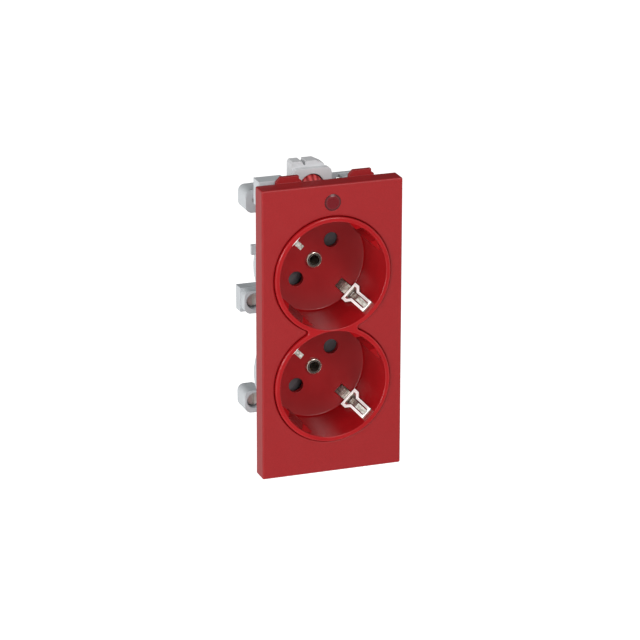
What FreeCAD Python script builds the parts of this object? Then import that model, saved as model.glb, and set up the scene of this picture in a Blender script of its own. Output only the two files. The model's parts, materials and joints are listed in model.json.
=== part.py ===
import FreeCAD, Part
import math
import os
import Sketcher

# Double earthed socket for one frame: a red cover plate, a red twin recess and a grey body behind them.
# The pieces are drawn as seen from the front: x to the right, y up, and depths counted back from the
# plate's front face. Each one is then stood up, so that the rear rim of the plate lies at y = 0.

os.makedirs("parts", exist_ok=True)

SIZES = {
    # cover plate
    "plate_side": 4.5,
    "plate_end": 11.75,
    "plate_depth": 6.8,
    "plate_wall": 2.0,
    "plate_face": 2.4,
    "plate_edge": 0.6,
    "opening_gap": 0.1,
    "opening_edge": 0.7,
    "hook_offset": 13.6,
    "hook_width": 6.7,
    "hook_foot": 10.0,
    "hook_toe": 1.0,
    "hook_shoulder": 1.1,
    "hook_rise": 2.3,
    "hook_depth": 1.7,
    # twin recess
    "mouth_radius": 20.05,
    "mouth_edge": 0.25,
    "bowl_draft": 0.65,
    "rim_wall": 1.75,
    "rim_proud": 0.9,
    "rim_edge": 0.6,
    "rim_overlap": 2.9,
    "floor_depth": 20.0,
    "floor_wall": 2.0,
    "waist_radius": 1.0,
    "cup_step": 0.7,
    "cup_wall": 1.2,
    "cup_corner": 1.4,
    "flange_lip": 1.4,
    "flange_wall": 1.4,
    "pin_pitch": 19.0,
    "pin_hole_radius": 2.8,
    "key_reach": 2.25,
    "key_slot": 7.4,
    "key_drop": 3.0,
    "strap_slot_inset": 1.3,
    "strap_slot_length": 4.6,
    "strap_slot_width": 3.9,
    # shutters and their springs
    "boss_radius": 3.6,
    "boss_length": 3.1,
    "running_gap": 0.05,
    "piece_gap": 0.3,
    "hub_radius": 5.6,
    "shutter_wing": 3.2,
    "spring_offset": 8.6,
    "spring_seat": 6.4,
    "spring_length": 7.7,
    "spring_radius": 1.0,
    "spring_wire": 0.35,
    "spring_turns": 4,
    # earth clips, rivets and bars
    "sheet": 0.6,
    "strap_width": 3.5,
    "strap_turn": 6.6,
    "contact_width": 7.6,
    "tongue_width": 4.6,
    "window_width": 2.7,
    "finger_width": 1.9,
    "contact_rise": 18.9,
    "shoulder_rise": 5.0,
    "eyelet_flange": 3.1,
    "eyelet_radius": 2.35,
    "eyelet_hole": 1.9,
    "eyelet_proud": 1.0,
    "bar_wall": 0.8,
    "bar_width": 5.0,
    # grey body
    "collar_wall": 1.65,
    "collar_lead": 4.0,
    "collar_length": 4.5,
    "drum_step": 1.3,
    "drum_taper": 2.0,
    "drum_wall": 1.6,
    "drum_shoulder": 3.0,
    "drum_length": 9.6,
    "partition_inset": 2.2,
    "partition_wall": 1.0,
    "tower_gap": 1.85,
    "tower_half": 3.7,
    "tower_above": 3.9,
    "tower_below": 4.6,
    "tower_corner": 2.4,
    "tower_hole": 2.9,
    "tower_proud": 6.9,
    "tower_high_proud": 8.8,
    "tower_length": 8.8,
    "driver_hole": 1.1,
    "heel_step": 4.0,
    "heel_proud": 0.3,
    "tower_drop": 2.9,
    "tower_middle": 6.0,
    "tower_low_drop": 11.65,
    "web_foot": 9.65,
    "web_start": 13.0,
    "web_end": 17.0,
    "lug_proud": 1.05,
    "box_overhang": 2.75,
    "box_width": 10.0,
    "box_height": 9.5,
    "box_proud": 0.8,
    "box_length": 6.2,
    # cover behind
    "cover_wall": 1.4,
    "cover_inset": 0.5,
    "tub_length": 11.8,
    "tub_clearance": 0.2,
    "tub_margin_top": 3.0,
    "tub_margin_bottom": 4.5,
    "cover_screw_gap": 0.3,
    "cover_screw_radius": 1.1,
    "cover_screw_head": 1.9,
    # live parts
    "busbar_inset": 1.0,
    "riser_reach": 12.2,
    "sleeve_radius": 3.3,
    "sleeve_bore": 2.35,
    "sleeve_clearance": 1.4,
    # terminals
    "screw_head_radius": 2.4,
    "screw_head_length": 1.5,
    "screw_radius": 1.5,
    "screw_sink": 2.4,
    "clamp_half": 2.5,
    "clamp_wall": 0.8,
    # pilot light
    "pilot_inset": 6.6,
    "lens_radius": 3.05,
    "pilot_hole": 4.6,
    "housing_left": -7.2,
    "housing_right": 7.4,
    "housing_below": 5.4,
    "housing_above": 6.6,
    "housing_seat": 0.4,
    "housing_length": 7.8,
    "housing_flange": 2.4,
    "housing_corner": 2.0,
    "housing_rise": 2.2,
    "housing_notch": 1.5,
    "cone_radius": 4.2,
    "lamp_radius": 2.0,
    "lead_radius": 0.5,
}

# Sizes that follow from the ones above
DERIVED = {
    "rim_radius": "mouth_radius + rim_wall",
    "socket_pitch": "2 * rim_radius - rim_overlap",
    "plate_width": "2 * (rim_radius + opening_gap + plate_side)",
    "plate_height": "socket_pitch + 2 * (rim_radius + opening_gap + plate_end)",
    "floor_radius": "mouth_radius - bowl_draft",
    "cup_front_radius": "rim_radius - cup_step",
    "cup_back_radius": "floor_radius + cup_wall",
    "flange_radius": "rim_radius + flange_lip",
    "key_chord": "mouth_radius - key_reach",
    "strap_slot_outer": "floor_radius - strap_slot_inset",
    "strap_slot_inner": "strap_slot_outer - strap_slot_length",
    "strap_reach": "floor_radius - strap_turn",
    "collar_radius": "cup_front_radius + collar_wall",
    "collar_depth": "floor_depth - collar_lead",
    "drum_front_radius": "cup_front_radius - drum_step",
    "drum_back_radius": "drum_front_radius - drum_taper",
    "drum_depth": "floor_depth + drum_shoulder",
    "parting_depth": "floor_depth + drum_length",
    "partition_depth": "parting_depth - partition_inset",
    "tower_offset": "drum_front_radius + tower_gap",
    "tower_depth": "parting_depth - tower_proud",
    "tower_high_depth": "parting_depth - tower_high_proud",
    "pilot_height": "plate_height / 2 - pilot_inset",
    "tower_high": "pilot_height - tower_drop",
    "tower_low": "-socket_pitch / 2 - tower_low_drop",
    "box_left": "-tower_offset - box_overhang",
    "box_right": "box_left + box_width",
    "box_top": "plate_height / 2 + box_proud",
    "box_bottom": "box_top - box_height",
    "cover_depth": "parting_depth + tub_length",
    "flange_reach": "drum_back_radius - cover_inset",
    "tub_half_width": "pin_pitch / 2 + sleeve_radius + tub_clearance",
    "tub_top": "tower_high - tub_margin_top",
    "tub_bottom": "tower_low - tub_margin_bottom",
    "cover_screw_offset": "tub_half_width + cover_screw_head + cover_screw_gap",
    "busbar_offset": "pin_pitch / 2 * 0.7071",
    "busbar_depth": "parting_depth - busbar_inset",
    "sleeve_length": "cover_depth - cover_wall - sleeve_clearance - busbar_depth - bar_wall",
    "housing_top": "pilot_height + housing_above",
    "housing_bottom": "pilot_height - housing_below",
    "housing_depth": "parting_depth - housing_seat - housing_length",
}

SOCKET_TURN = 45.0

doc = FreeCAD.newDocument("double_socket")
sheet = doc.addObject("Spreadsheet::Sheet", "Sizes")
for row, (alias, value) in enumerate([*SIZES.items(), *DERIVED.items()], start=1):
    sheet.set("A" + str(row), alias)
    sheet.set("B" + str(row), "=" + value if alias in DERIVED else str(value))
    sheet.setAlias("B" + str(row), alias)
doc.recompute()


class Term:
    """A length worked out from the sheet: its number now, and the formula that keeps it bound."""

    def __init__(self, number, formula):
        self.number = number
        self.formula = formula

    def joined(self, other, sign, number):
        return Term(number, "(" + self.formula + sign + term(other).formula + ")")

    def __add__(self, other):
        return self.joined(other, " + ", self.number + term(other).number)

    def __sub__(self, other):
        return self.joined(other, " - ", self.number - term(other).number)

    def __mul__(self, other):
        return self.joined(other, " * ", self.number * term(other).number)

    def __truediv__(self, other):
        return self.joined(other, " / ", self.number / term(other).number)

    def __radd__(self, other):
        return term(other) + self

    def __rsub__(self, other):
        return term(other) - self

    def __rmul__(self, other):
        return term(other) * self

    def __neg__(self):
        return term(0) - self

    def __float__(self):
        return float(self.number)


def term(value):
    return value if isinstance(value, Term) else Term(value, repr(value))


class Named:
    """Reads a size by its name, as in size.plate_width."""

    def __getattr__(self, alias):
        return Term(float(sheet.get(alias)), "Sizes." + alias)


size = Named()


def bind(thing, prop, value):
    thing.setExpression(prop, term(value).formula)


def shift(thing, x=0, y=0, z=0):
    """Move a piece by sizes that stay bound to the sheet."""
    for axis, value in (("x", x), ("y", y), ("z", z)):
        bind(thing, "Placement.Base." + axis, value)


def block(name, across, upward, depths):
    """Box between two values across, two upward and two depths, front depth first."""
    thing = doc.addObject("Part::Box", name)
    bind(thing, "Length", term(across[1]) - across[0])
    bind(thing, "Width", term(upward[1]) - upward[0])
    bind(thing, "Height", term(depths[1]) - depths[0])
    shift(thing, across[0], upward[0], -term(depths[1]))
    return thing


def rod(name, radius, x, y, depths):
    thing = doc.addObject("Part::Cylinder", name)
    bind(thing, "Radius", radius)
    bind(thing, "Height", term(depths[1]) - depths[0])
    shift(thing, x, y, -term(depths[1]))
    return thing


def taper(name, front_radius, back_radius, x, y, depths):
    thing = doc.addObject("Part::Cone", name)
    bind(thing, "Radius1", back_radius)
    bind(thing, "Radius2", front_radius)
    bind(thing, "Height", term(depths[1]) - depths[0])
    shift(thing, x, y, -term(depths[1]))
    return thing


def fuse(name, pieces):
    thing = doc.addObject("Part::MultiFuse", name)
    thing.Shapes = pieces
    thing.Refine = True
    return thing


def cut(name, base, tools):
    """Take one or more tools away from a base."""
    thing = doc.addObject("Part::Cut", name)
    thing.Base = base
    thing.Tool = tools[0] if len(tools) == 1 else fuse(name + "_tools", tools)
    thing.Refine = True
    return thing


def rounded(name, base, radius, chosen):
    """Round the edges of a finished piece that a test picks out."""
    doc.recompute()
    thing = doc.addObject("Part::Fillet", name)
    thing.Base = base
    edges = base.Shape.Edges
    radius = float(radius)
    thing.Edges = [(i, radius, radius) for i, edge in enumerate(edges, start=1) if chosen(edge)]
    return thing


def is_upright(edge):
    """True for a straight edge that runs from front to back."""
    ends = [vertex.Point for vertex in edge.Vertexes]
    if len(ends) != 2 or edge.Curve.TypeId != "Part::GeomLine":
        return False
    return abs(ends[0].x - ends[1].x) < 1e-6 and abs(ends[0].y - ends[1].y) < 1e-6


def at_depth(depth):
    """Test for the edges that lie in one flat layer."""
    level = -float(depth)

    def test(edge):
        box = edge.BoundBox
        return abs(box.ZMin - level) < 1e-6 and abs(box.ZMax - level) < 1e-6

    return test


def draw(sketch, loops):
    """Fill a sketch with closed outlines. A circle is (x, y, radius), the rest are lists of corners."""
    for loop in loops:
        first = sketch.GeometryCount
        if isinstance(loop, tuple):
            x, y, radius = (term(value) for value in loop)
            centre = FreeCAD.Vector(float(x), float(y), 0)
            sketch.addGeometry(Part.Circle(centre, FreeCAD.Vector(0, 0, 1), float(radius)))
            pin(sketch, first, 3, x, y)
            place = sketch.addConstraint(Sketcher.Constraint("Radius", first, float(radius)))
            sketch.setExpression("Constraints[%d]" % place, radius.formula)
            continue
        corners = [(term(x), term(y)) for x, y in loop]
        points = [FreeCAD.Vector(float(x), float(y), 0) for x, y in corners]
        for i, point in enumerate(points):
            sketch.addGeometry(Part.LineSegment(point, points[(i + 1) % len(points)]))
        for i, (x, y) in enumerate(corners):
            before = first + (i - 1) % len(corners)
            sketch.addConstraint(Sketcher.Constraint("Coincident", before, 2, first + i, 1))
            pin(sketch, first + i, 1, x, y)


def pin(sketch, index, end, x, y):
    """Hold one point of a sketch at bound distances from its origin."""
    for kind, value in (("DistanceX", x), ("DistanceY", y)):
        rule = Sketcher.Constraint(kind, -1, 1, index, end, float(value))
        place = sketch.addConstraint(rule)
        sketch.setExpression("Constraints[%d]" % place, value.formula)


def sketch_on(body, name, role, offset):
    """Sketch on one of the body's own planes, moved along its normal by a bound offset."""
    sketch = body.newObject("Sketcher::SketchObject", name)
    plane = [part for part in body.Origin.OriginFeatures if part.Role == role][0]
    sketch.AttachmentSupport = (plane, [""])
    sketch.MapMode = "FlatFace"
    bind(sketch, "AttachmentOffset.Base.z", offset)
    return sketch


def pad(body, name, loops, depths):
    """Add a layer of the body between two depths."""
    sketch = sketch_on(body, name + "_outline", "XY_Plane", -term(depths[0]))
    draw(sketch, loops)
    feature = body.newObject("PartDesign::Pad", name)
    feature.Profile = sketch
    feature.Reversed = True
    bind(feature, "Length", term(depths[1]) - depths[0])
    return feature


def pocket(body, name, loops, depths):
    """Cut the body between two depths."""
    sketch = sketch_on(body, name + "_outline", "XY_Plane", -term(depths[0]))
    draw(sketch, loops)
    feature = body.newObject("PartDesign::Pocket", name)
    feature.Profile = sketch
    bind(feature, "Length", term(depths[1]) - depths[0])
    return feature


def new_body(name):
    return doc.addObject("PartDesign::Body", name)


def rectangle(left, right, bottom, top):
    return [(left, bottom), (right, bottom), (right, top), (left, top)]


NODES = []


def stand(thing, name, turn=0.0, up=0):
    """Name a finished sub-part and stand it up in the shared frame."""
    thing.Label = name
    upright = FreeCAD.Rotation(FreeCAD.Vector(1, 0, 0), 90)
    turned = FreeCAD.Rotation(FreeCAD.Vector(0, 0, 1), turn)
    thing.Placement = FreeCAD.Placement(FreeCAD.Vector(0, 0, 0), upright * turned)
    shift(thing, 0, -size.plate_depth, up)
    NODES.append(thing)


def in_socket(thing, up):
    """Turn a piece drawn about a recess axis to the diagonal and lift it to its socket."""
    thing.Placement = FreeCAD.Placement(
        FreeCAD.Vector(0, 0, 0), FreeCAD.Rotation(FreeCAD.Vector(0, 0, 1), SOCKET_TURN))
    shift(thing, 0, up, 0)
    return thing


SOCKETS = {"top": size.socket_pitch / 2, "bottom": -size.socket_pitch / 2}


def soften(body, name, radius, chosen):
    """Round the edges of a body's last feature that a test picks out."""
    doc.recompute()
    base = body.Tip
    edges = ["Edge%d" % i for i, edge in enumerate(base.Shape.Edges, start=1) if chosen(edge)]
    feature = body.newObject("PartDesign::Fillet", name)
    feature.Base = (base, edges)
    bind(feature, "Radius", radius)
    body.Tip = feature
    return feature


def bar(name, corners, half_width, along="y"):
    """Extrude an outline given as (across, depth) both ways from its middle plane."""
    sketch = doc.addObject("Sketcher::SketchObject", name + "_outline")
    turn = FreeCAD.Rotation(FreeCAD.Vector(1, 0, 0), 90)
    if along == "x":
        turn = FreeCAD.Rotation(FreeCAD.Vector(0, 0, 1), 90) * turn
    sketch.Placement = FreeCAD.Placement(FreeCAD.Vector(0, 0, 0), turn)
    draw(sketch, [[(across, -term(depth)) for across, depth in corners]])
    thing = doc.addObject("Part::Extrusion", name)
    thing.Base = sketch
    thing.DirMode = "Normal"
    thing.Solid = True
    bind(thing, "LengthFwd", half_width)
    bind(thing, "LengthRev", half_width)
    return thing


def figure_eight(name, radius, waist, depths):
    """Two discs, one round each recess axis, with the inner corners of their waist rounded."""
    discs = [rod(name + "_" + at, radius, 0, up, depths) for at, up in SOCKETS.items()]
    whole = fuse(name, discs)
    if waist is None:
        return whole
    return rounded(name + "_waist", whole, waist, at_waist)


def at_waist(edge):
    return is_upright(edge) and abs(edge.Vertexes[0].Point.y) < 0.5


# Cover plate


def front_plate():
    body = new_body("front_plate")
    right = size.plate_width / 2
    top = size.plate_height / 2
    back = size.plate_depth
    pad(body, "plate", [rectangle(-right, right, -top, top)], (0, back))
    soften(body, "plate_corners", size.plate_edge, is_upright)
    soften(body, "plate_rim", size.plate_edge, at_depth(0))
    inside = rectangle(size.plate_wall - right, right - size.plate_wall,
                       size.plate_wall - top, top - size.plate_wall)
    pocket(body, "hollow", [inside], (size.plate_face, back))
    for at, up in SOCKETS.items():
        opening = (0, up, size.rim_radius + size.opening_gap)
        pocket(body, "opening_" + at, [opening], (0, size.plate_face))
    soften(body, "waist", size.waist_radius, at_waist)
    soften(body, "opening_rim", size.opening_edge, lambda edge: at_depth(0)(edge) and in_opening(edge))
    pocket(body, "lens_hole", [(0, size.pilot_height, size.lens_radius)], (0, size.plate_face))
    pad(body, "hooks", hooks(top), (back, back + size.hook_depth))
    stand(body, "front_plate")


def in_opening(edge):
    reach = float(size.rim_radius + size.opening_gap) + 0.01
    return abs(edge.CenterOfMass.x) < reach and edge.BoundBox.DiagonalLength < 3 * reach


def hooks(top):
    """Snap hooks, two on the top edge and two on the bottom edge."""
    loops = []
    for side in (-1, 1):
        for end in (-1, 1):
            middle = side * size.hook_offset
            foot = size.hook_foot / 2
            crest = size.hook_width / 2
            root_line = end * (top - size.plate_wall)
            edge_line = end * (top + size.hook_rise / 4)
            crest_line = end * (top + size.hook_rise)
            toe = crest + size.hook_toe
            loops.append([
                (middle - foot, root_line), (middle + toe, root_line), (middle + toe, edge_line),
                (middle + crest, crest_line - end * size.hook_shoulder),
                (middle + crest, crest_line), (middle - crest, crest_line), (middle - foot, edge_line)])
    return loops


# Twin recess


def guide_key(name, side):
    """Rib with a ramped top at one end of the pin axis, split by a slot back to the wall."""
    wall = size.rim_radius
    ramp = size.key_drop * (wall - size.key_chord) / (size.mouth_radius - size.key_chord)
    corners = [
        (side * size.key_chord, size.floor_depth), (side * wall, size.floor_depth),
        (side * wall, size.key_drop - ramp), (side * size.key_chord, size.key_drop)]
    rib = bar(name + "_rib", corners, size.rim_radius / 2)
    across = (size.key_chord - 1, wall + 1) if side > 0 else (-wall - 1, 1 - size.key_chord)
    half = size.key_slot / 2
    slot = block(name + "_slot", across, (-half, half), (-2, size.floor_depth + 1))
    return cut(name, rib, [slot])


def recess(name, up):
    """Everything that is hollow in one socket of the insert."""
    bowl = taper(name + "_bowl", size.mouth_radius, size.floor_radius, 0, 0,
                 (-size.rim_proud, size.floor_depth))
    bowl = rounded(name + "_bowl_round", bowl, 0.5, at_depth(size.floor_depth))
    keys = [guide_key(name + "_key_right", 1), guide_key(name + "_key_left", -1)]
    hollow = cut(name + "_hollow", bowl, keys)
    floor = (size.floor_depth - 1, size.floor_depth + size.floor_wall + 1)
    pin = size.pin_pitch / 2
    half = size.strap_slot_width / 2
    deep = (size.floor_depth - 1, size.floor_depth + size.floor_wall + size.boss_length + 1)
    holes = [
        rod(name + "_pin_right", size.pin_hole_radius, pin, 0, floor),
        rod(name + "_pin_left", size.pin_hole_radius, -pin, 0, floor),
        rod(name + "_eyelet_hole", size.eyelet_radius + size.running_gap, 0, 0, deep),
        block(name + "_strap_slot_high", (-half, half),
              (size.strap_slot_inner, size.strap_slot_outer), floor),
        block(name + "_strap_slot_low", (-half, half),
              (-size.strap_slot_outer, -size.strap_slot_inner), floor)]
    return in_socket(fuse(name, [hollow] + holes), up)


def socket_insert():
    behind = size.plate_face + size.opening_gap
    back = size.floor_depth + size.floor_wall
    shoulder = back - size.cup_corner
    inner_corner = size.waist_radius + size.opening_gap
    solids = [
        figure_eight("rim", size.rim_radius, inner_corner, (-size.rim_proud, behind)),
        figure_eight("flange", size.flange_radius, None, (behind, behind + size.flange_wall))]
    for at, up in SOCKETS.items():
        solids.append(taper("cup_" + at, size.cup_front_radius, size.cup_back_radius, 0, up,
                            (behind, shoulder)))
        solids.append(taper("cup_base_" + at, size.cup_back_radius,
                            size.cup_back_radius - size.cup_corner, 0, up, (shoulder, back)))
        solids.append(rod("boss_" + at, size.boss_radius, 0, up, (back, back + size.boss_length)))
        solids.append(spring_post(at, up, back))
    recesses = [recess("recess_" + at, up) for at, up in SOCKETS.items()]
    whole = cut("insert_body", fuse("insert_outside", solids), recesses)
    lip = float(size.mouth_radius + size.rim_radius) / 2
    front = at_depth(-size.rim_proud)
    whole = rounded("rim_round", whole, size.rim_edge,
                    lambda edge: front(edge) and from_axis(edge) > lip)
    whole = rounded("mouth_round", whole, size.mouth_edge,
                    lambda edge: front(edge) and from_axis(edge) < lip)
    stand(whole, "socket_insert")


def spring_post(at, up, back):
    """Small post behind the floor that the shutter's spring leans on."""
    half = size.spring_radius + size.piece_gap
    return block("spring_post_" + at, (-size.spring_offset - half, half - size.spring_offset),
                 (up + size.spring_seat, up + size.spring_seat + 0.8), (back, back + size.boss_length - 0.2))


def from_axis(edge):
    """Distance of an edge's first point from the nearer recess axis."""
    point = edge.Vertexes[0].Point
    return math.hypot(point.x, abs(point.y) - float(size.socket_pitch) / 2)


# Earth clips and what holds them


def strip(points, width):
    """Bent sheet metal along a centre line of (distance from the axis, depth), with round bends."""
    line = Part.makePolygon([FreeCAD.Vector(0, y, -depth) for y, depth in points])
    if len(points) == 2:
        outline = straight_outline(*line.Edges)
    else:
        outline = line.makeOffset2D(float(size.sheet) / 2)
    solid = Part.Face(outline).extrude(FreeCAD.Vector(width, 0, 0))
    solid.translate(FreeCAD.Vector(-width / 2, 0, 0))
    return solid


def straight_outline(edge):
    """Outline of a flat sheet seen along its own plane."""
    start, end = (vertex.Point for vertex in edge.Vertexes)
    along = (end - start).normalize()
    side = FreeCAD.Vector(0, -along.z, along.y) * (float(size.sheet) / 2)
    return Part.makePolygon([start + side, end + side, end - side, start - side, start + side])


def earth_contact(strap_middle):
    """One end of the clip: a strap through the floor, a T-shaped plate on the wall and its finger."""
    floor = float(size.floor_depth)
    sheet_half = float(size.sheet) / 2
    wall = float(size.floor_radius)
    rise = float(size.contact_rise)
    foot = (wall - 0.8, floor - 1.2)
    crown = (wall + 0.1, floor - rise)
    hump = floor - 0.45 - sheet_half
    strap = strip([(0, strap_middle), (float(size.strap_reach), strap_middle), (wall - 2.5, hump),
                   (wall - 1.1, hump), foot], float(size.strap_width))
    back = strip([foot, crown], float(size.contact_width))
    wide = float(size.contact_width) / 2
    slim = float(size.tongue_width) / 2
    shoulder = float(size.shoulder_rise)
    outline = [
        (-wide, floor + 1), (-wide, floor - shoulder), (-slim, floor - shoulder - wide + slim - 1),
        (-slim, floor - rise - 1), (slim, floor - rise - 1), (slim, floor - shoulder - wide + slim - 1),
        (wide, floor - shoulder), (wide, floor + 1), (-wide, floor + 1)]
    face = Part.Face(Part.makePolygon([FreeCAD.Vector(x, wall - 5, -depth) for x, depth in outline]))
    back = back.common(face.extrude(FreeCAD.Vector(0, 8, 0)))
    window = float(size.window_width)
    hole = Part.makeBox(window, 8, rise - shoulder - 2.2)
    hole.translate(FreeCAD.Vector(-window / 2, wall - 5, shoulder + 1 - floor))
    back = back.cut(hole)
    crest = (wall - 4.4, floor - rise + 1.8)
    tip = (wall - 1.2, floor - shoulder - 0.8)
    finger = strip([(crown[0], crown[1] + 0.35), crest, tip], float(size.finger_width))
    return strap.fuse([back, finger])


def earth_clip(at, up):
    """Strip bent out of one sheet, from one wall under the floor to the other wall."""
    front = float(size.floor_depth + size.floor_wall + size.boss_length + size.running_gap)
    middle = front + float(size.sheet) / 2
    high = earth_contact(middle)
    low = high.copy()
    low.rotate(FreeCAD.Vector(0, 0, 0), FreeCAD.Vector(0, 0, 1), 180)
    disc = Part.makeCylinder(float(size.boss_radius), float(size.sheet))
    disc.translate(FreeCAD.Vector(0, 0, -front - float(size.sheet)))
    shank = Part.makeCylinder(float(size.eyelet_radius + size.running_gap), 60)
    shank.translate(FreeCAD.Vector(0, 0, -50))
    clip = doc.addObject("Part::Feature", "earth_clip_" + at)
    clip.Shape = high.fuse([low, disc]).cut(shank).removeSplitter()
    stand(clip, "earth_clip_" + at, SOCKET_TURN, up)


def bar_front():
    """Depth of the earth bar, which lies against the clips."""
    return size.floor_depth + size.floor_wall + size.boss_length + size.sheet + 2 * size.running_gap


def eyelet(at, up):
    """Hollow rivet that holds floor, clip and earth bar together."""
    name = "eyelet_" + at
    floor = size.floor_depth
    tail = bar_front() + size.bar_wall + size.running_gap
    flange = rod(name + "_flange", size.eyelet_flange, 0, 0, (floor - size.eyelet_proud, floor))
    flange = rounded(name + "_flange_round", flange, 0.6, at_depth(floor - size.eyelet_proud))
    shank = rod(name + "_shank", size.eyelet_radius, 0, 0, (floor - size.eyelet_proud / 2, tail + 0.5))
    rolled = rod(name + "_rolled", size.eyelet_flange - 0.1, 0, 0, (tail, tail + 0.5))
    bore = rod(name + "_bore", size.eyelet_hole, 0, 0, (floor - 3, tail + 1))
    stand(cut(name, fuse(name + "_solid", [flange, shank, rolled]), [bore]), name, 0, up)


def earth_bar():
    """Upright strip under both rivets with a joggled arm to each middle terminal."""
    front = bar_front()
    back = front + size.bar_wall
    tab = size.busbar_depth
    tab_back = tab + size.bar_wall
    half = size.bar_width / 2
    reach = size.socket_pitch / 2 + size.eyelet_flange
    end = size.tower_offset + size.clamp_half
    inner = size.tower_offset - 6.5
    outer = size.tower_offset - 4.5
    upright = block("earth_bar_upright", (-half, half), (-reach, reach), (front, back))
    corners = [
        (-end, tab), (-outer, tab), (-inner, front), (inner, front), (outer, tab), (end, tab),
        (end, tab_back), (outer - 0.3, tab_back), (inner - 0.3, back),
        (0.3 - inner, back), (0.3 - outer, tab_back), (-end, tab_back)]
    arm = bar("earth_bar_arm", corners, size.clamp_half)
    arm.Placement = FreeCAD.Placement()
    shift(arm, 0, size.tower_middle, 0)
    holes = [rod("earth_bar_rivet_" + at, size.eyelet_radius + size.running_gap, 0, up,
                 (front - 1, back + 1)) for at, up in SOCKETS.items()]
    for side in (-1, 1):
        holes.append(rod("earth_bar_screw_%d" % (side + 1), size.screw_radius + 0.1,
                         side * size.tower_offset, size.tower_middle, (tab - 1, tab_back + 1)))
    stand(cut("earth_bar", fuse("earth_bar_strips", [upright, arm]), holes), "earth_bar")


# Shutters


def shutter(at, up):
    """Two wings on a hub that turns on the boss behind the floor, each with a ramp for its pin."""
    name = "shutter_" + at
    front = size.floor_depth + size.floor_wall + size.piece_gap
    back = front - 2 * size.piece_gap + size.boss_length
    layer = (front, back)
    reach = size.pin_pitch / 2
    wing = size.shutter_wing
    solids = [
        rod(name + "_hub", size.hub_radius, 0, 0, layer),
        rod(name + "_tip_right", wing, reach, 0, layer),
        rod(name + "_tip_left", wing, -reach, 0, layer),
        block(name + "_wings", (-reach, reach), (-wing, wing), layer)]
    lug_turn = math.radians(198.0 - SOCKET_TURN)
    lug_x = (reach - 0.5) * round(math.cos(lug_turn), 6)
    lug_y = (reach - 0.5) * round(math.sin(lug_turn), 6)
    solids.append(rod(name + "_lug", 1.4, lug_x, lug_y, layer))
    tools = [rod(name + "_bore", size.boss_radius + size.running_gap, 0, 0, (front - 1, back + 1))]
    for side in (-1, 1):
        ramp = bar("%s_ramp_%d" % (name, side + 1),
                   [(side * 0.4, front - 0.5), (side * (wing + 0.5), front - 0.5),
                    (side * (wing + 0.5), back - 0.9), (side * 0.4, front)], wing + 0.2, "x")
        ramp.Placement = FreeCAD.Placement()
        shift(ramp, side * (reach + 0.1), 0, 0)
        tools.append(ramp)
    stand(cut(name, fuse(name + "_solid", solids), tools), name, SOCKET_TURN, up)


def shutter_spring(at, up):
    """Coil that pushes the lug back, standing between it and the post on the insert."""
    wire = float(size.spring_wire) / 2
    radius = float(size.spring_radius)
    length = float(size.spring_length)
    pitch = (length - 2 * wire) / float(size.spring_turns)
    helix = Part.makeHelix(pitch, length - 2 * wire, radius - wire)
    inner = radius - 2 * wire
    section = Part.makePolygon([FreeCAD.Vector(x, 0, z) for x, z in (
        (inner, -wire), (radius, -wire), (radius, wire), (inner, wire), (inner, -wire))])
    coil = Part.Wire(helix.Edges).makePipeShell([section], True, True)
    coil.rotate(FreeCAD.Vector(0, 0, 0), FreeCAD.Vector(1, 0, 0), -90)
    depth = float(size.floor_depth + size.floor_wall + size.boss_length / 2)
    top = float(size.spring_seat) - 0.05
    coil.translate(FreeCAD.Vector(-float(size.spring_offset), top - length + wire, -depth))
    spring = doc.addObject("Part::Feature", "shutter_spring_" + at)
    spring.Shape = Part.Compound([coil])
    stand(spring, "shutter_spring_" + at, 0, up)


# Grey body

SIDES = {"left": -1, "right": 1}
POLES = {"line": 1, "neutral": -1}
TOWERS = {"high": size.tower_high, "middle": size.tower_middle, "low": size.tower_low}


def both(name, radius, depths):
    """A disc round each recess axis."""
    return fuse(name, [rod(name + "_" + at, radius, 0, up, depths) for at, up in SOCKETS.items()])


def both_tapers(name, front_radius, back_radius, depths):
    """A cone round each recess axis."""
    cones = [taper(name + "_" + at, front_radius, back_radius, 0, up, depths)
             for at, up in SOCKETS.items()]
    return fuse(name, cones)


def span(side, inner, outer):
    """Left and right values of something between two distances from the middle, on one side."""
    return (inner, outer) if side > 0 else (-term(outer), -term(inner))


def tower(name, side, up):
    """Rounded barrel for a terminal, with the block that ties it to the drum."""
    high = name.startswith("high")
    front = size.tower_high_depth if high else size.tower_depth
    back = size.parting_depth - 0.1 if high else size.tower_depth + size.tower_length
    x = side * size.tower_offset
    half = size.tower_half
    low = up - size.tower_below
    top = up + size.tower_above
    barrel = block("barrel_" + name, (x - half, x + half), (low, top), (front, back))
    pieces = [
        rounded("barrel_round_" + name, barrel, size.tower_corner, is_upright),
        block("tie_" + name, span(side, size.tub_half_width, size.tower_offset - 1), (low, top),
              (size.partition_depth - 1.4, size.parting_depth))]
    if name.startswith("middle"):
        outer = size.tower_offset + half + size.heel_proud
        pieces.append(block("heel_" + name, span(side, size.flange_reach + 0.3, outer),
                            (low - size.heel_proud, top + size.heel_proud),
                            (size.tower_depth + size.heel_step, back)))
    return pieces


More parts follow.
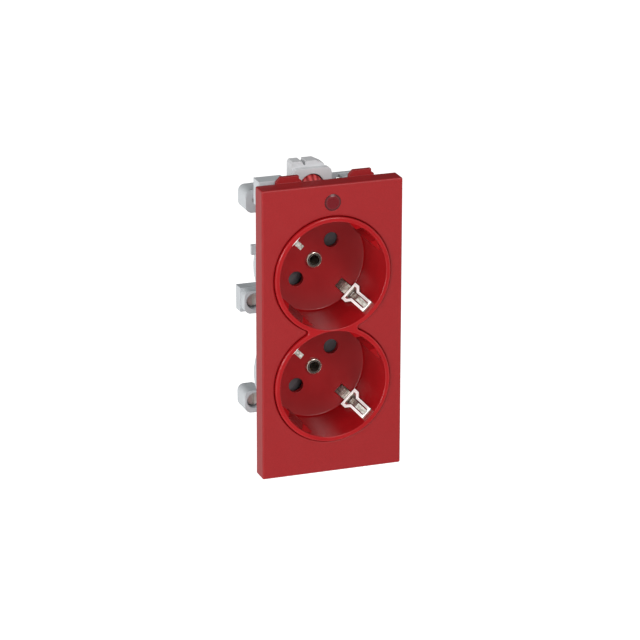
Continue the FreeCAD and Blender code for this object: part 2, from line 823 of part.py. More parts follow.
def tower_hollow(name, side, up):
    """Screw hole, square room for the clamp, wire entry below and the way in for the bar."""
    x = side * size.tower_offset
    room = size.clamp_half + 0.2
    bar_front = size.busbar_depth - 0.1
    bar_back = size.busbar_depth + size.bar_wall + 0.1
    clamp_front = size.busbar_depth - size.screw_sink
    end = size.tower_depth + size.tower_length
    high = name.startswith("high")
    head_room = clamp_front - size.screw_head_length - 1.2
    screw_way = rod("screw_way_" + name, size.tower_hole, x, up,
                    (head_room if high else size.tower_high_depth, bar_front))
    driver_way = rod("driver_way_" + name, size.driver_hole, x, up, (size.tower_high_depth - 1, bar_front))
    return [
        screw_way, driver_way,
        block("clamp_room_" + name, (x - room, x + room), (up - room, up + room),
              (clamp_front - 1.2, bar_back)),
        block("wire_way_" + name, (x - 1.6, x + 1.6), (up - 12, up),
              (clamp_front + 0.9, bar_front)),
        block("bar_way_" + name, span(side, 12, size.tower_offset), (up - room, up + room),
              (bar_front, end + 3)),
        rod("shank_way_" + name, size.screw_radius + 0.2, x, up, (bar_back - 1, end + 0.5))]


def rear_body():
    collar_back = size.collar_depth + size.collar_length
    parting = size.parting_depth
    wall = size.drum_wall
    outside = [
        both("collar", size.collar_radius, (size.collar_depth, collar_back)),
        both_tapers("shoulder", size.collar_radius, size.drum_front_radius,
                    (collar_back, size.drum_depth)),
        both_tapers("drum", size.drum_front_radius, size.drum_back_radius, (size.drum_depth, parting))]
    inside = [
        both("collar_room", size.cup_front_radius, (size.collar_depth - 1, collar_back)),
        both_tapers("shoulder_room", size.cup_front_radius, size.drum_front_radius - 0.6,
                    (collar_back, size.drum_depth)),
        both_tapers("drum_room", size.drum_front_radius - wall, size.drum_back_radius - wall,
                    (size.drum_depth, parting + 1))]
    shell = cut("drum_shell", fuse("drum_outside", outside), inside)
    divider = (size.partition_depth, size.partition_depth + size.partition_wall)
    pieces = [shell, both("divider", size.drum_back_radius - wall / 2, divider)]
    holes = []
    for at, up in SOCKETS.items():
        holes.append(rod("rivet_room_" + at, size.eyelet_flange + 0.3, 0, up,
                         (divider[0] - 1, divider[1] + 1)))
        reach = size.pin_pitch / 2
        pin_ways = [rod("pin_way_%s_%d" % (at, side + 1), size.pin_hole_radius + 0.5, side * reach, 0,
                        (divider[0] - 1, divider[1] + 1)) for side in (-1, 1)]
        holes.append(in_socket(fuse("pin_ways_" + at, pin_ways), up))
        for side_name, side in SIDES.items():
            x = side * size.cover_screw_offset
            pieces.append(rod("post_%s_%s" % (at, side_name), size.cover_screw_radius + 1.1, x, up,
                              (divider[0] - 2, parting)))
            holes.append(rod("thread_%s_%s" % (at, side_name), size.cover_screw_radius + 0.02, x, up,
                             (divider[0] - 1, parting + 1)))
    for side_name, side in SIDES.items():
        for level, up in TOWERS.items():
            pieces += tower(level + "_" + side_name, side, up)
            holes += tower_hollow(level + "_" + side_name, side, up)
        pieces.append(block("web_" + side_name, span(side, size.web_start, size.web_end),
                            (size.socket_pitch / 2 + size.web_foot, size.tower_high),
                            (divider[0] - 1.4, divider[1])))
    top = size.tower_high
    shelf = (parting - 0.2, parting + 1.4)
    box_front = size.plate_depth + size.hook_depth + size.piece_gap
    pieces.append(block("shelf", (-size.tower_offset + 3.5, size.tower_offset - 3.5),
                        (top - 1.5, top + 4.3), shelf))
    pieces.append(block("support", (size.box_left, size.box_right), (size.box_bottom, size.box_top),
                        (box_front, box_front + size.box_length)))
    pieces.append(block("support_rib", (size.box_left + 3.5, size.box_right - 1),
                        (size.box_bottom + 1, size.box_top - 5),
                        (box_front + size.box_length - 1, size.tower_depth + 1)))
    for side_name, side in SIDES.items():
        lug = span(side, size.collar_radius - 0.7, size.collar_radius + size.lug_proud)
        pieces.append(block("lug_" + side_name, lug,
                            (size.socket_pitch / 2 + 4.3, size.socket_pitch / 2 + 8),
                            (collar_back - 1.2, collar_back)))
    bar_layer = (size.busbar_depth - 0.1, parting + 0.05)
    holes.append(block("bar_slot_high", (-14, 14), (size.tower_high - 8.7, size.tower_high - 3.4),
                       bar_layer))
    holes.append(block("bar_slot_low", (-14, 14), (size.tower_low - 2.7, size.tower_low + 2.7),
                       bar_layer))
    for pole, side in POLES.items():
        x = side * size.busbar_offset
        half = size.bar_width / 2 + 1.4
        holes.append(block("bar_slot_" + pole, (x - half, x + half),
                           (size.tower_low, size.tower_high), bar_layer))
        holes.append(block("arm_slot_" + pole,
                           span(side, size.riser_reach - 0.2, size.riser_reach + size.bar_width + 0.2),
                           (size.tower_high - 8.7, size.tower_high + size.clamp_half + 0.2), bar_layer))
    holes += earth_ways()
    stand(cut("rear_body", fuse("rear_solids", pieces), holes), "rear_body")


def earth_ways():
    """Openings in the drums for the earth bar."""
    front = bar_front() - 0.15
    half = size.bar_width / 2 + 0.2
    arm = size.clamp_half + 0.2
    middle = size.tower_middle
    back = size.parting_depth + 0.05
    return [
        block("earth_way_upright", (-half, half), (-size.drum_back_radius / 2, size.drum_back_radius / 2),
              (front, size.partition_depth)),
        block("earth_way_arm", (-size.tower_offset + 4, size.tower_offset - 4),
              (middle - arm, middle + arm), (front, back))]


# Cover behind


def rear_cover():
    front = size.parting_depth + 0.1
    back = front + size.cover_wall
    wall = size.cover_wall
    half = size.tub_half_width
    tub = block("tub", (-half, half), (size.tub_bottom, size.tub_top), (front, size.cover_depth))
    tub = rounded("tub_corners", tub, 2.5, is_upright)
    tub = rounded("tub_back", tub, 1.0, at_depth(size.cover_depth))
    flange = both("cover_flange", size.flange_reach, (front, back))
    room = block("tub_room", (wall - half, half - wall),
                 (size.tub_bottom + wall, size.tub_top - wall), (front - 1, size.cover_depth - wall))
    holes = [rounded("tub_room_corners", room, 1.2, is_upright)]
    for at, up in SOCKETS.items():
        for side_name, side in SIDES.items():
            holes.append(rod("cover_hole_%s_%s" % (at, side_name), size.cover_screw_radius + 0.2,
                             side * size.cover_screw_offset, up, (front - 1, back + 1)))
    stand(cut("rear_cover", fuse("cover_solid", [tub, flange]), holes), "rear_cover")


def cover_screws():
    """Four screws through the cover's rim into the posts."""
    seat = size.parting_depth + 0.1 + size.cover_wall
    screws = []
    for at, up in SOCKETS.items():
        for side_name, side in SIDES.items():
            name = "cover_screw_%s_%s" % (at, side_name)
            x = side * size.cover_screw_offset
            shank = rod(name + "_shank", size.cover_screw_radius, x, up,
                        (size.partition_depth, seat + 0.5))
            head = rod(name + "_head", size.cover_screw_head, x, up, (seat + 0.02, seat + 1.4))
            slot = block(name + "_slot", (x - 0.3, x + 0.3), (up - 3, up + 3), (seat + 0.8, seat + 2))
            screws.append(cut(name, fuse(name + "_solid", [shank, head]), [slot]))
    group = doc.addObject("Part::Compound", "cover_screws")
    group.Links = screws
    stand(group, "cover_screws")


# Live parts


def busbar(pole, side):
    """Stamped bar from the lamp to the lowest terminal, with an arm to two of the towers."""
    front = size.busbar_depth
    x = side * size.busbar_offset
    half = size.bar_width / 2 + 1.2
    inner = x - side * half
    outer = side * (size.tower_offset + size.clamp_half)
    arm = size.clamp_half
    low = size.tower_low
    high = size.tower_high
    step = high - 6
    rise = side * size.riser_reach
    fall = side * (size.riser_reach + size.bar_width)
    outline = [
        (inner, low - arm), (outer, low - arm), (outer, low + arm), (x + side * half, low + arm),
        (x + side * half, step - arm), (fall, step - arm), (fall, high - arm), (outer, high - arm),
        (outer, high + arm), (rise, high + arm), (rise, step + arm), (inner, step + arm)]
    body = new_body("busbar_" + pole)
    layer = (front, front + size.bar_wall)
    pad(body, "busbar_%s_blank" % pole, [outline], layer)
    reach = size.pin_pitch / 2 * round(math.cos(math.radians(SOCKET_TURN)), 6)
    holes = [(x, up + side * reach, size.sleeve_bore) for up in SOCKETS.values()]
    holes += [(side * size.tower_offset, up, size.screw_radius + 0.1) for up in (low, high)]
    pocket(body, "busbar_%s_holes" % pole, holes, layer)
    stand(body, "busbar_" + pole)


def sleeve(at, up, pole, side):
    """Slotted spring sleeve that grips a pin, seated on the busbar."""
    name = "sleeve_%s_%s" % (at, pole)
    front = size.busbar_depth + size.bar_wall
    back = front + size.sleeve_length
    x = side * size.pin_pitch / 2
    tube = rod(name + "_tube", size.sleeve_radius, x, 0, (front, back))
    tools = [
        rod(name + "_bore", size.sleeve_bore, x, 0, (front - 1, back + 1)),
        block(name + "_slit", (x - 0.4, x + 0.4), (-5, 5), (front + 2, back + 1))]
    stand(cut(name, tube, tools), name, SOCKET_TURN, up)


# Terminals


def terminal(level, up, side_name, side):
    """Screw and the clamp plate that it carries down onto the wire."""
    name = level + "_" + side_name
    x = side * size.tower_offset
    under_head = size.busbar_depth - size.screw_sink
    half = size.clamp_half
    body = new_body("clamp_" + name)
    layer = (under_head, under_head + size.clamp_wall)
    pad(body, "clamp_%s_plate" % name, [rectangle(x - half, x + half, up - half, up + half)], layer)
    pocket(body, "clamp_%s_hole" % name, [(x, up, size.screw_radius + size.running_gap)], layer)
    stand(body, "clamp_" + name)
    head = rod("screw_%s_head" % name, size.screw_head_radius, x, up,
               (under_head - size.running_gap - size.screw_head_length, under_head - size.running_gap))
    head = rounded("screw_%s_head_round" % name, head, 0.3,
                   at_depth(under_head - size.running_gap - size.screw_head_length))
    shank = rod("screw_%s_shank" % name, size.screw_radius, x, up,
                (under_head - 0.5, size.busbar_depth + size.bar_wall + 1.4))
    slot = block("screw_%s_slot" % name, (x - 0.35, x + 0.35), (up - 3, up + 3),
                 (under_head - 2.5, under_head - size.running_gap - size.screw_head_length + 0.7))
    stand(cut("screw_" + name, fuse("screw_%s_solid" % name, [head, shank]), [slot]), "screw_" + name)


# Pilot light


def pilot_housing():
    """Open-mouthed block with a broad front flange and a narrower body."""
    front = size.housing_depth
    flange_back = front + size.housing_flange
    back = front + size.housing_length
    up = size.pilot_height
    outline = rectangle(size.housing_left, size.housing_right, size.housing_bottom, size.housing_top)
    body = new_body("pilot_housing")
    pad(body, "housing_flange", [outline], (front, flange_back))
    soften(body, "housing_corners", size.housing_corner, is_upright)
    left = size.housing_left + 0.2
    right = size.housing_right - 1.7
    crest = size.housing_top + size.housing_rise
    notch = size.housing_notch
    bottom = size.housing_bottom + 0.6
    trunk = [
        (left, bottom), (right, bottom), (right, crest - 3.2), (right - 0.4, crest - notch),
        (right - 3.4, crest), (left + 5.5, crest), (left + 5.2, crest - notch), (left + 4.7, crest - notch),
        (left + 3.9, crest), (left + 0.7, crest), (left, crest - 0.7)]
    pad(body, "housing_trunk", [trunk], (flange_back, back))
    pocket(body, "housing_mouth", [(0, up, size.pilot_hole)], (front, back - 3.4))
    room = rectangle(size.housing_left + 1.6, size.housing_right - 3.6,
                     size.housing_bottom + 2, size.housing_top - 2.2)
    pocket(body, "housing_room", [room], (back - 3.6, back))
    ways = [(side * 4.2, size.housing_bottom + 1.5, size.lead_radius * 2 + 0.2) for side in (-1, 1)]
    slots = [rectangle(x - radius, x + radius, y - 3, y + 2) for x, y, radius in ways]
    pocket(body, "lead_slots", slots, (back - 1.8, back))
    stand(body, "pilot_housing")


def light_guide():
    """Window in the plate, its stem and the faceted cap in the mouth of the housing."""
    up = size.pilot_height
    radius = size.lens_radius - size.running_gap
    window = rod("window", radius, 0, up, (0, size.plate_face + 0.6))
    dome = taper("window_dome", radius - 0.8, radius, 0, up, (-0.35, 0))
    stem = rod("guide_stem", radius - 0.9, 0, up, (size.plate_face, size.housing_depth - 1.5))
    cap = taper("guide_cap", radius - 0.9, size.cone_radius, 0, up,
                (size.housing_depth - 1.5, size.housing_depth + 0.9))
    stand(fuse("light_guide", [window, dome, stem, cap]), "light_guide")


def pilot_lamp():
    up = size.pilot_height
    back = size.housing_depth + size.housing_length - 1.2
    front = size.housing_depth + 1.2
    bulb = rod("lamp_bulb", size.lamp_radius, 0, up, (front, back))
    bulb = rounded("lamp_bulb_round", bulb, 1.2, at_depth(front))
    stand(bulb, "pilot_lamp")


def pilot_board():
    body = new_body("pilot_board")
    board = rectangle(size.housing_left + 1.8, size.housing_right - 3.8,
                      size.housing_bottom + 2.2, size.housing_top - 2.4)
    back = size.housing_depth + size.housing_length
    pad(body, "board", [board], (back - 1.2, back - 0.2))
    stand(body, "pilot_board")


def pilot_leads():
    """Two short leads from the board down to the ends of the busbars."""
    depth = size.housing_depth + size.housing_length - 0.7
    top = size.housing_bottom + 2.1
    bottom = size.tower_high - 6 + size.clamp_half + 0.1
    leads = []
    for side_name, side in SIDES.items():
        lead = rod("lead_" + side_name, size.lead_radius, 0, 0, (0, top - bottom))
        lead.Placement = FreeCAD.Placement(
            FreeCAD.Vector(0, 0, 0), FreeCAD.Rotation(FreeCAD.Vector(1, 0, 0), -90))
        shift(lead, side * 4.2, bottom, -depth)
        leads.append(lead)
    group = doc.addObject("Part::Compound", "pilot_leads")
    group.Links = leads
    stand(group, "pilot_leads")


def build():
    front_plate()
    socket_insert()
    rear_body()
    rear_cover()
    cover_screws()
    earth_bar()
    for pole, side in POLES.items():
        busbar(pole, side)
    for at, up in SOCKETS.items():
        earth_clip(at, up)
        eyelet(at, up)
        shutter(at, up)
        shutter_spring(at, up)
        for pole, side in POLES.items():
            sleeve(at, up, pole, side)
    for level, up in TOWERS.items():
        for side_name, side in SIDES.items():
            terminal(level, up, side_name, side)
    pilot_housing()
    light_guide()
    pilot_lamp()
    pilot_board()
    pilot_leads()
    doc.recompute()


def check_and_write():
    """Stop on any failed object, then write one file for each sub-part."""
    for thing in doc.Objects:
        if "Invalid" in thing.State or "Error" in thing.State:
            raise RuntimeError(thing.Name + " failed: " + str(thing.State))
    for node in NODES:
        if node.Shape.isNull() or not node.Shape.isValid() or not node.Shape.Solids:
            raise RuntimeError(node.Label + " has no valid solid")
    for node in NODES:
        node.Shape.exportStep("parts/" + node.Label + ".step")


build()
check_and_write()
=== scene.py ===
import json
import math

import bpy
from mathutils import Matrix, Vector


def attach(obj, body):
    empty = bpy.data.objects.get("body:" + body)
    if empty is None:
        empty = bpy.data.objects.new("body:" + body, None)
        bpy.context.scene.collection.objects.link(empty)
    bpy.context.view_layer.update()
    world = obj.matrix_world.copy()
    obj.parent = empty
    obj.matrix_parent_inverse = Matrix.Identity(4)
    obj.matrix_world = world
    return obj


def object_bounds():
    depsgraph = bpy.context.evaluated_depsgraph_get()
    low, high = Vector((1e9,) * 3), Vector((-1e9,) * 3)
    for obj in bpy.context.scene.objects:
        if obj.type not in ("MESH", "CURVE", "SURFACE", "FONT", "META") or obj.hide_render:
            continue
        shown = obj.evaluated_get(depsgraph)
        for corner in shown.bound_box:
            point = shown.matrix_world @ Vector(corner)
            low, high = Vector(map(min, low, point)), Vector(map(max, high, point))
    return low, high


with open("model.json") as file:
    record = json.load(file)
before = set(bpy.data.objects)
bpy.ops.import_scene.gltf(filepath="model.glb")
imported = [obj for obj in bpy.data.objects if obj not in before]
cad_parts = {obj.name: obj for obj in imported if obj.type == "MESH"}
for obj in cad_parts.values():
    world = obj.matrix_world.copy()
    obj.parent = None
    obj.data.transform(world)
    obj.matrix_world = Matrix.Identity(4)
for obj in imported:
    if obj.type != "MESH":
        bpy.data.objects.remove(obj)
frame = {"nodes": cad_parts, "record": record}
nodes = frame["nodes"]
cad_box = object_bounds()

MM = 0.001

# Places on the part and measures of its finishes, in millimetres. The painted shade at the rim of the
# lens goes with the distance from its axis, and its cap with the distance behind the plate's rear rim.

PILOT_HEIGHT = 47.4
SOCKET_HEIGHT = 20.35
DISH_RADIUS = 19.8
DISH_DEPTH = 2.2
LENS_RIM_SHADE = (2.3, 3.0)
LENS_CAP = (2.0, 3.0)
MATT_EDGE = 0.35
GLOSSY_EDGE = 0.25

# Numbers for the shader nodes. Most of the noise lies between the start and the end of the ramps.

RAMP_START = 0.3
RAMP_END = 0.7
EDGE_SAMPLES = 6
FACET_GLINTS_PER_MM = 0.16
FACET_DISTORTION = 2.5


# Shader nodes


def linear(red, green, blue):
    """Colour for a shader from the values seen on a screen, 0 to 255."""
    parts = []
    for value in (red, green, blue):
        share = value / 255.0
        parts.append(share / 12.92 if share <= 0.04045 else ((share + 0.055) / 1.055) ** 2.4)
    return (*parts, 1.0)


def number_math(tree, operation, first, second):
    """Result of one operation on two numbers; the second is a value or an output."""
    node = tree.nodes.new("ShaderNodeMath")
    node.operation = operation
    tree.links.new(first, node.inputs[0])
    if isinstance(second, float):
        node.inputs[1].default_value = second
    else:
        tree.links.new(second, node.inputs[1])
    return node.outputs["Value"]


def vector_math(tree, operation, source, other=(0, 0, 0)):
    """Node that combines a vector with a fixed one."""
    node = tree.nodes.new("ShaderNodeVectorMath")
    node.operation = operation
    node.inputs[1].default_value = other
    tree.links.new(source, node.inputs[0])
    return node


def map_range(tree, source, **limits):
    """One range carried to another; each runs from 0 to 1 unless a limit says otherwise."""
    node = tree.nodes.new("ShaderNodeMapRange")
    for socket, value in limits.items():
        node.inputs[socket.replace("_", " ")].default_value = value
    tree.links.new(source, node.inputs["Value"])
    return node.outputs["Result"]


class Finish:
    """A material with its shader and the few nodes that every finish here shares."""

    def __init__(self, name):
        self.material = bpy.data.materials.new(name)
        self.material.use_nodes = True
        self.tree = self.material.node_tree
        self.shader = self.tree.nodes["Principled BSDF"]
        self.point = self.tree.nodes.new("ShaderNodeTexCoord").outputs["Object"]

    def set(self, **values):
        for socket, value in values.items():
            self.shader.inputs[socket.replace("_", " ")].default_value = value
        return self

    def noise(self, grain, detail=4.0, stretch=(1, 1, 1)):
        """Noise whose grains are about so many millimetres wide."""
        mapping = self.tree.nodes.new("ShaderNodeMapping")
        mapping.inputs["Scale"].default_value = stretch
        self.tree.links.new(self.point, mapping.inputs["Vector"])
        node = self.tree.nodes.new("ShaderNodeTexNoise")
        node.inputs["Scale"].default_value = 1.0 / (grain * MM)
        node.inputs["Detail"].default_value = detail
        self.tree.links.new(mapping.outputs["Vector"], node.inputs["Vector"])
        return node.outputs["Fac"]

    def off_axis(self, point, height):
        """Distance from an axis that runs from front to back at a height in millimetres."""
        flat = vector_math(self.tree, "MULTIPLY", point, (1, 0, 1))
        away = vector_math(self.tree, "DISTANCE", flat.outputs["Vector"], (0, 0, height * MM))
        return away.outputs["Value"]

    def span(self, source, start, end):
        """0 to 1 as a distance goes from start to end, in millimetres."""
        return map_range(self.tree, source, From_Min=start * MM, From_Max=end * MM)

    def shade(self, source, low, high):
        """Base colour that drifts between two near values."""
        ramp = self.tree.nodes.new("ShaderNodeValToRGB")
        first, last = ramp.color_ramp.elements
        first.position = RAMP_START
        first.color = linear(*low)
        last.position = RAMP_END
        last.color = linear(*high)
        self.tree.links.new(source, ramp.inputs["Fac"])
        self.tree.links.new(ramp.outputs["Color"], self.shader.inputs["Base Color"])

    def mix(self, share, first, second):
        """One colour into another; each is a colour or an output.

        The names of the sockets repeat, so they are picked by number.
        """
        node = self.tree.nodes.new("ShaderNodeMix")
        node.data_type = "RGBA"
        factor, colour_a, colour_b = node.inputs[0], node.inputs[6], node.inputs[7]
        self.tree.links.new(share, factor)
        for socket, colour in ((colour_a, first), (colour_b, second)):
            if isinstance(colour, tuple):
                socket.default_value = linear(*colour)
            else:
                self.tree.links.new(colour, socket)
        return node.outputs[2]

    def gloss(self, source, low, high):
        """Roughness that drifts between two values."""
        self.tree.links.new(map_range(self.tree, source, To_Min=low, To_Max=high),
                            self.shader.inputs["Roughness"])

    def soft_edges(self, radius):
        """Normal with the sharp edges of the piece softened by a radius in millimetres."""
        node = self.tree.nodes.new("ShaderNodeBevel")
        node.samples = EDGE_SAMPLES
        node.inputs["Radius"].default_value = radius * MM
        return node.outputs["Normal"]

    def relief(self, source, height, strength=1.0, on=None):
        """Normal of a relief so many millimetres high, on another normal where one is given."""
        node = self.tree.nodes.new("ShaderNodeBump")
        node.inputs["Distance"].default_value = height * MM
        node.inputs["Strength"].default_value = strength
        self.tree.links.new(source, node.inputs["Height"])
        if on is not None:
            self.tree.links.new(on, node.inputs["Normal"])
        return node.outputs["Normal"]

    def surface(self, normal):
        self.tree.links.new(normal, self.shader.inputs["Normal"])


# Finishes: colours as seen on a screen, grains and reliefs in millimetres


def matt_red():
    """Cover plate, matt with a fine grain."""
    finish = Finish("red_matt").set(Specular_IOR_Level=0.42)
    spots = finish.noise(0.3, detail=5.0)
    finish.shade(spots, (137, 14, 18), (153, 20, 24))
    finish.gloss(finish.noise(6), 0.36, 0.44)
    edges = finish.soft_edges(MATT_EDGE)
    finish.surface(finish.relief(spots, 0.018, strength=0.6, on=edges))
    return finish.material


def glossy_red():
    """Smooth red of the recesses."""
    finish = Finish("red_gloss").set(Specular_IOR_Level=0.45)
    cloud = finish.noise(9, detail=3.0)
    finish.shade(cloud, (151, 12, 18), (161, 16, 22))
    finish.gloss(cloud, 0.2, 0.28)
    edges = finish.soft_edges(GLOSSY_EDGE)
    dish = finish.relief(dish_height(finish), DISH_DEPTH, on=edges)
    finish.surface(finish.relief(finish.noise(5, detail=2.0), 0.02, strength=0.3, on=dish))
    return finish.material


def dish_height(finish):
    """Relief that shades the floors as if they rose to their walls, which moves what they mirror."""
    fold = vector_math(finish.tree, "ABSOLUTE", finish.point)
    away = finish.off_axis(fold.outputs["Vector"], SOCKET_HEIGHT)
    return number_math(finish.tree, "POWER", finish.span(away, 0.0, DISH_RADIUS), 2.0)


def lens_red():
    """Deep red window with painted shade darkening its rim, and a paler cap behind the plate banded with
    painted glints of its facets.
    """
    finish = Finish("red_lens").set(Specular_IOR_Level=0.4)
    tree = finish.tree
    # Painted shade: the window darkens towards its rim.
    rim_shade = finish.span(finish.off_axis(finish.point, PILOT_HEIGHT), *LENS_RIM_SHADE)
    # Painted highlights: paler wave bands stand in for light caught by the cap's facets.
    facet_glints = tree.nodes.new("ShaderNodeTexWave")
    facet_glints.bands_direction = "X"
    facet_glints.inputs["Scale"].default_value = FACET_GLINTS_PER_MM / MM
    facet_glints.inputs["Distortion"].default_value = FACET_DISTORTION
    tree.links.new(finish.point, facet_glints.inputs["Vector"])
    split = tree.nodes.new("ShaderNodeSeparateXYZ")
    tree.links.new(finish.point, split.inputs["Vector"])
    behind = finish.span(split.outputs["Y"], *LENS_CAP)
    front = finish.mix(rim_shade, (104, 18, 26), (52, 8, 12))
    cap = finish.mix(facet_glints.outputs["Fac"], (150, 30, 34), (226, 92, 92))
    tree.links.new(finish.mix(behind, front, cap), finish.shader.inputs["Base Color"])
    finish.gloss(finish.noise(1.5, detail=3.0), 0.24, 0.32)
    return finish.material


def grey_moulding(name, low, high):
    finish = Finish(name).set(Specular_IOR_Level=0.45)
    cloud = finish.noise(4, detail=5.0)
    finish.shade(cloud, low, high)
    finish.gloss(cloud, 0.4, 0.52)
    edges = finish.soft_edges(MATT_EDGE)
    finish.surface(finish.relief(finish.noise(0.35), 0.01, strength=0.5, on=edges))
    return finish.material


def metal(name, low, high, rough, grain, stretch=(1, 1, 1), metallic=1.0):
    finish = Finish(name).set(Metallic=metallic)
    # Streaks of grain; in the nickel strip their wide span of colour is painted reflection.
    grain_and_glints = finish.noise(grain, detail=5.0, stretch=stretch)
    finish.shade(grain_and_glints, low, high)
    finish.gloss(grain_and_glints, *rough)
    finish.surface(finish.relief(grain_and_glints, 0.003, strength=0.25))
    return finish.material


def glowing_frame():
    """Polished frame that glows faintly, a painted highlight for the lamps it catches."""
    # The emission is painted light: the frame glows though it is no lamp.
    finish = Finish("nickel_frame").set(Emission_Color=(1, 1, 1, 1), Emission_Strength=0.34)
    cloud = finish.noise(1.6)
    finish.shade(cloud, (246, 245, 243), (255, 255, 253))
    finish.gloss(cloud, 0.2, 0.3)
    return finish.material


def lamp_glass():
    finish = Finish("lamp_glass").set(Transmission_Weight=0.6, Specular_IOR_Level=0.5)
    cloud = finish.noise(2)
    finish.shade(cloud, (214, 206, 196), (232, 226, 218))
    finish.gloss(cloud, 0.08, 0.2)
    return finish.material


FINISHES = {
    "red_matt": matt_red(),
    "red_gloss": glossy_red(),
    "red_lens": lens_red(),
    "grey_body": grey_moulding("grey_body", (181, 185, 188), (186, 190, 193)),
    "grey_housing": grey_moulding("grey_housing", (205, 206, 208), (209, 210, 212)),
    "dark_shutter": grey_moulding("dark_shutter", (76, 74, 77), (88, 86, 89)),
    "board": grey_moulding("board", (60, 84, 58), (72, 98, 66)),
    # The strip's streaks run from dark to bright: painted reflections on top of its grain.
    "nickel_strip": metal("nickel_strip", (140, 126, 112), (254, 250, 242), rough=(0.08, 0.16),
                          grain=1.1, stretch=(1, 0.4, 1), metallic=0.75),
    # The nickel frame glows faintly: painted light.
    "nickel_frame": glowing_frame(),
    "chrome_rivet": metal("chrome_rivet", (206, 192, 178), (244, 234, 222), rough=(0.06, 0.12),
                          grain=1.5, metallic=0.92),
    "spring_steel": metal("spring_steel", (150, 152, 154), (178, 180, 182), rough=(0.22, 0.34),
                          grain=0.6),
    "brass_bar": metal("brass_bar", (196, 162, 92), (214, 180, 108), rough=(0.24, 0.38), grain=2),
    "zinc_screw": metal("zinc_screw", (222, 220, 212), (238, 236, 230), rough=(0.26, 0.42),
                        grain=0.8, metallic=0.5),
    "copper_lead": metal("copper_lead", (176, 110, 74), (196, 128, 90), rough=(0.24, 0.36), grain=1),
    "lamp_glass": lamp_glass(),
}


def paint_nodes():
    slot_of = {part["node"]: part["material_slot"] for part in frame["record"]["subparts"]}
    for name, thing in nodes.items():
        thing.data.materials.clear()
        thing.data.materials.append(FINISHES[slot_of[name]])


def new_object(name, data):
    thing = bpy.data.objects.new(name, data)
    bpy.context.scene.collection.objects.link(thing)
    return thing


# Raised edge of the earth contacts, in millimetres and degrees. The points of an edge are distance
# across and depth behind the plate's front face. Those of the foot and the crown of a contact are
# distance from the socket's axis and depth.

PLATE_DEPTH = 6.8
SOCKETS = {"top": SOCKET_HEIGHT, "bottom": -SOCKET_HEIGHT}
CONTACT_TURNS = {"high": 45, "low": 225}
CONTACT_FOOT = (18.3, 18.6)
CONTACT_CROWN = (19.17, 1.35)
OUTER_EDGE = [(3.8, 18.6), (3.8, 15.0), (2.3, 12.5), (2.3, 1.15)]
INNER_EDGE = [(2.7, 17.6), (2.7, 15.4), (1.35, 13.0), (1.35, 2.2)]
EDGE_RISE = 0.22
EDGE_SUNK = -0.05
EDGE_ROUND = 0.08
ROUND_STEPS = 2


def contact_point(across, depth, rise, turn, up):
    """Point so far off the inner face of a contact plate, turned round the axis of its socket."""
    share = (CONTACT_FOOT[1] - depth) / (CONTACT_FOOT[1] - CONTACT_CROWN[1])
    reach = CONTACT_FOOT[0] + share * (CONTACT_CROWN[0] - CONTACT_FOOT[0]) - rise
    x = across * math.cos(turn) - reach * math.sin(turn)
    z = across * math.sin(turn) + reach * math.cos(turn)
    return (x * MM, (depth - PLATE_DEPTH) * MM, (z + up) * MM)


def mirrored(edge):
    """Closed outline from its right half, foot to crown."""
    return edge + [(-across, depth) for across, depth in reversed(edge)]


def contact_edge(name, turn, up):
    """Rolled edge round the T-shaped plate, between an outer and an inner outline."""
    outer = mirrored(OUTER_EDGE)
    inner = mirrored(INNER_EDGE)
    rings = [(outer, EDGE_SUNK), (outer, EDGE_RISE), (inner, EDGE_RISE), (inner, EDGE_SUNK)]
    points = []
    for outline, rise in rings:
        points += [contact_point(across, depth, rise, turn, up) for across, depth in outline]
    count = len(outer)
    faces = []
    for ring in range(len(rings)):
        low = ring * count
        high = (ring + 1) % len(rings) * count
        for i in range(count):
            j = (i + 1) % count
            faces.append((low + i, low + j, high + j, high + i))
    mesh = bpy.data.meshes.new(name)
    mesh.from_pydata(points, [], faces)
    mesh.validate()
    thing = new_object(name, mesh)
    bevel = thing.modifiers.new("round", "BEVEL")
    bevel.width = EDGE_ROUND * MM
    bevel.segments = ROUND_STEPS
    # The frame's finish glows faintly, which is painted light.
    mesh.materials.append(FINISHES["nickel_frame"])
    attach(thing, "base")


def contact_edges():
    for at, up in SOCKETS.items():
        for side, turn in CONTACT_TURNS.items():
            contact_edge("contact_edge_%s_%s" % (at, side), math.radians(turn), up)


# Stage, in metres and watts. Each grey of the sky goes with a height of the direction, -1 below and
# 1 overhead. A card darkens the sky round a direction: start and full are cosines of the angle away from
# it, and the strength falls from the open level at the first to the card's own level at the second.

FLOOR_REACH = 12.0
FLOOR_DROP = 0.03
LIGHT_WIDTH = 0.45
LIGHTS = {
    "key": ((-1.0, -0.58, 0.35), 6.3),
    "front": ((0.35, -1.1, 0.8), 6.5),
}
SKY_GREYS = [(-0.5, 0.7), (0.0, 0.95), (0.2, 0.95), (0.6, 0.5)]
OPEN_LEVEL = 0.9
LOW_CARD = {"toward": (0.317, -0.871, -0.375), "start": 0.885, "full": 0.945, "level": 0.04}
HIGH_CARD = {"toward": (0.3, 0.89, 0.33), "start": 0.7, "full": 0.92, "level": 0.1}


def area_light(name, place, power):
    """Square light aimed at the origin."""
    data = bpy.data.lights.new(name, "AREA")
    data.shape = "SQUARE"
    data.size = LIGHT_WIDTH
    data.energy = power
    lamp = new_object(name, data)
    lamp.location = place
    lamp.rotation_euler = (-Vector(place)).to_track_quat("-Z", "Y").to_euler()


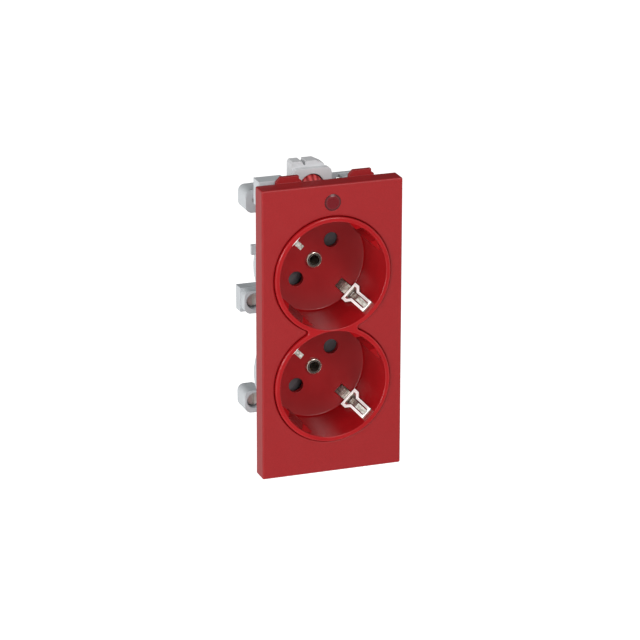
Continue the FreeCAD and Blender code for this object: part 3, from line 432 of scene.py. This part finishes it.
def pale_floor():
    """White paper a little below the part, not seen in what the part mirrors."""
    low = cad_box[0][2] - FLOOR_DROP
    corners = [(-FLOOR_REACH, -FLOOR_REACH, low), (FLOOR_REACH, -FLOOR_REACH, low),
               (FLOOR_REACH, FLOOR_REACH, low), (-FLOOR_REACH, FLOOR_REACH, low)]
    mesh = bpy.data.meshes.new("floor")
    mesh.from_pydata(corners, [], [(0, 1, 2, 3)])
    floor = new_object("floor", mesh)
    floor.visible_glossy = False
    paper = Finish("floor_paper").set(Roughness=0.9, Specular_IOR_Level=0.1,
                                      Emission_Color=(1, 1, 1, 1), Emission_Strength=0.6)
    paper.shade(paper.noise(400), (252, 252, 252), (255, 255, 255))
    mesh.materials.append(paper.material)


def sky():
    """Pale all round, dimmer above and below, with a dark card low in front and one high behind."""
    world = bpy.data.worlds.new("studio")
    bpy.context.scene.world = world
    world.use_nodes = True
    tree = world.node_tree
    background = tree.nodes["Background"]
    direction = tree.nodes.new("ShaderNodeTexCoord").outputs["Generated"]
    strength = number_math(tree, "MULTIPLY", card(tree, direction, **LOW_CARD),
                           card(tree, direction, **HIGH_CARD))
    tree.links.new(height_ramp(tree, direction), background.inputs["Color"])
    tree.links.new(strength, background.inputs["Strength"])


def card(tree, direction, toward, start, full, level):
    near = vector_math(tree, "DOT_PRODUCT", direction, toward)
    return map_range(tree, near.outputs["Value"], From_Min=start, From_Max=full,
                     To_Min=OPEN_LEVEL, To_Max=level)


def height_ramp(tree, direction):
    """Grey of the sky at the height of a direction."""
    split = tree.nodes.new("ShaderNodeSeparateXYZ")
    tree.links.new(direction, split.inputs["Vector"])
    ramp = tree.nodes.new("ShaderNodeValToRGB")
    tree.links.new(map_range(tree, split.outputs["Z"], From_Min=-1.0), ramp.inputs["Fac"])
    marks = ramp.color_ramp.elements
    while len(marks) < len(SKY_GREYS):
        marks.new(0.5)
    for mark, (height, grey) in zip(marks, SKY_GREYS):
        mark.position = (height + 1) / 2
        mark.color = (grey, grey, grey, 1)
    return ramp.outputs["Color"]


def studio():
    pale_floor()
    sky()
    for name, (place, power) in LIGHTS.items():
        area_light(name, place, power)
    bpy.context.scene.view_settings.view_transform = "Standard"


# Camera, fitted to the photograph: degrees, metres in this frame, and millimetres for lens and sensor

CAMERA_AZIMUTH = 19.897
CAMERA_ELEVATION = 18.894
CAMERA_ROLL = 0.109
CAMERA_PLACE = (-0.39354, -1.08105, 0.39526)
CAMERA_LENS = 191.06
CAMERA_SENSOR = 36.0
CAMERA_REACH = 50.0


def camera():
    azimuth = math.radians(CAMERA_AZIMUTH)
    elevation = math.radians(CAMERA_ELEVATION)
    roll = math.radians(CAMERA_ROLL)
    ahead = Vector((math.sin(azimuth) * math.cos(elevation), math.cos(azimuth) * math.cos(elevation),
                    -math.sin(elevation)))
    right = Vector((math.cos(azimuth), -math.sin(azimuth), 0))
    up = right.cross(ahead)
    level_right = right * math.cos(roll) + up * math.sin(roll)
    level_up = up * math.cos(roll) - right * math.sin(roll)
    data = bpy.data.cameras.new("camera")
    data.sensor_width = CAMERA_SENSOR
    data.lens = CAMERA_LENS
    data.clip_end = CAMERA_REACH
    thing = new_object("camera", data)
    turn = Matrix((level_right, level_up, -ahead)).transposed().to_4x4()
    thing.matrix_world = Matrix.Translation(CAMERA_PLACE) @ turn
    bpy.context.scene.camera = thing


paint_nodes()
contact_edges()
studio()
camera()
